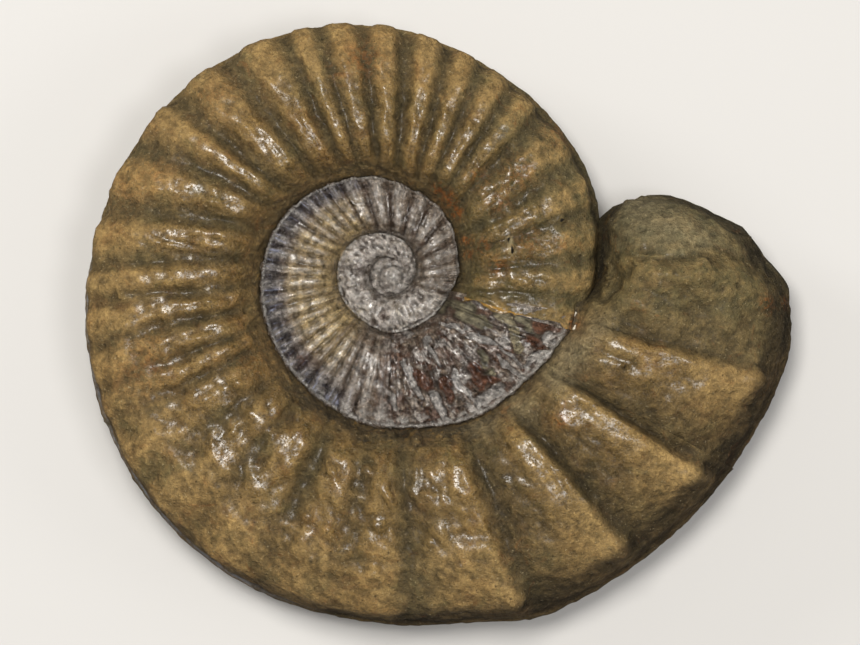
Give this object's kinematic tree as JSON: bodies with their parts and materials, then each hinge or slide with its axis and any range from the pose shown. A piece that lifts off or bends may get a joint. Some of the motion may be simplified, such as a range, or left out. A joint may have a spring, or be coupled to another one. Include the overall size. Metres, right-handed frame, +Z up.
{
  "type": "ammonite fossil",
  "caption": "Ribbed, keeled ammonite fossil coiled in a flat spiral, lying on one flank, with a brown outer layer and pearly inner turns.",
  "frame": {"origin": "middle of the footprint on the resting plane, under the object", "axes": "+Z up out of the flank that is seen, +X towards the last lump of the outer turn, +Y across the coil"},
  "size_m": [0.2504, 0.2134, 0.0671],
  "materials": {
    "fossil_stone": "mineralised shell and stone filling, brown and olive with a pearly middle, half glossy and pitted"
  },
  "bodies": {
    "root": {"ammonite": "fossil_stone"}
  },
  "joints": []
}
